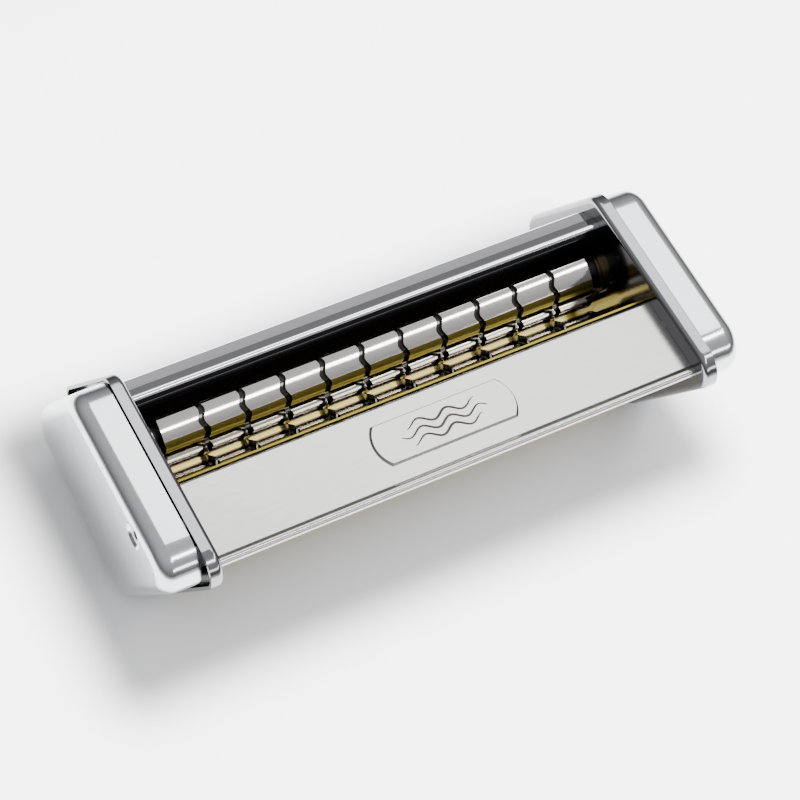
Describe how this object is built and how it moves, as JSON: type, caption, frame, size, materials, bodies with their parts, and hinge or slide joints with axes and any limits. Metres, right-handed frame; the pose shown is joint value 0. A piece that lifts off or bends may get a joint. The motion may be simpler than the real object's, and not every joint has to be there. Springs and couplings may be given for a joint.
{
  "type": "wavy ribbon pasta cutter attachment",
  "caption": "Roller attachment for a hand-cranked pasta machine that cuts dough sheets into wavy-edged ribbons.",
  "frame": {"origin": "on the surface it rests on, in the middle of the outline", "axes": "+X along the rollers towards the crank socket, +Y from the front panel to the machine side, +Z out of the hopper"},
  "size_m": [0.182, 0.0888, 0.054],
  "materials": {
    "plate_steel": "mirror polished",
    "cap_steel": "bright plated",
    "panel_steel": "mirror polished",
    "brass_sheet": "bright rolled",
    "zinc_steel": "zinc plated",
    "bush_bronze": "turned",
    "roller_steel": "ground and plated",
    "blade_steel": "hardened and ground",
    "gear_steel": "oiled",
    "spacer_steel": "blackened"
  },
  "bodies": {
    "case": {"left_side_plate": "plate_steel", "right_side_plate": "plate_steel", "left_end_cap": "cap_steel", "right_end_cap": "cap_steel", "front_panel": "panel_steel", "rear_guard": "panel_steel", "hopper_guide": "brass_sheet", "rear_comb": "brass_sheet", "front_comb": "brass_sheet", "tie_rods": "zinc_steel", "tie_rod_nuts": "zinc_steel", "cap_posts": "zinc_steel", "cap_screws": "zinc_steel", "roller_bushes": "bush_bronze", "thrust_washers": "bush_bronze"},
    "front_roller": {"front_cutting_roller": "roller_steel", "cutting_rings": "blade_steel", "front_gear": "gear_steel", "front_gear_pin": "zinc_steel", "front_circlip": "gear_steel", "front_spacers": "spacer_steel", "crank_socket": "zinc_steel", "crank_socket_pin": "zinc_steel"},
    "rear_roller": {"rear_cutting_roller": "roller_steel", "rear_gear": "gear_steel", "rear_gear_pin": "zinc_steel", "rear_circlip": "gear_steel", "rear_spacers": "spacer_steel"}
  },
  "joints": [
    {"name": "front_roller_turn", "type": "hinge", "parent": "case", "child": "front_roller", "pos_m": [0, -0.00862, 0.02048], "axis": [1, 0, 0], "continuous": true},
    {"name": "rear_roller_turn", "type": "hinge", "parent": "case", "child": "rear_roller", "pos_m": [0, 0.01152, 0.03052], "axis": [1, 0, 0], "continuous": true}
  ],
  "couplings": [
    {"joint": "rear_roller_turn", "follows": "front_roller_turn", "ratio": -1}
  ]
}
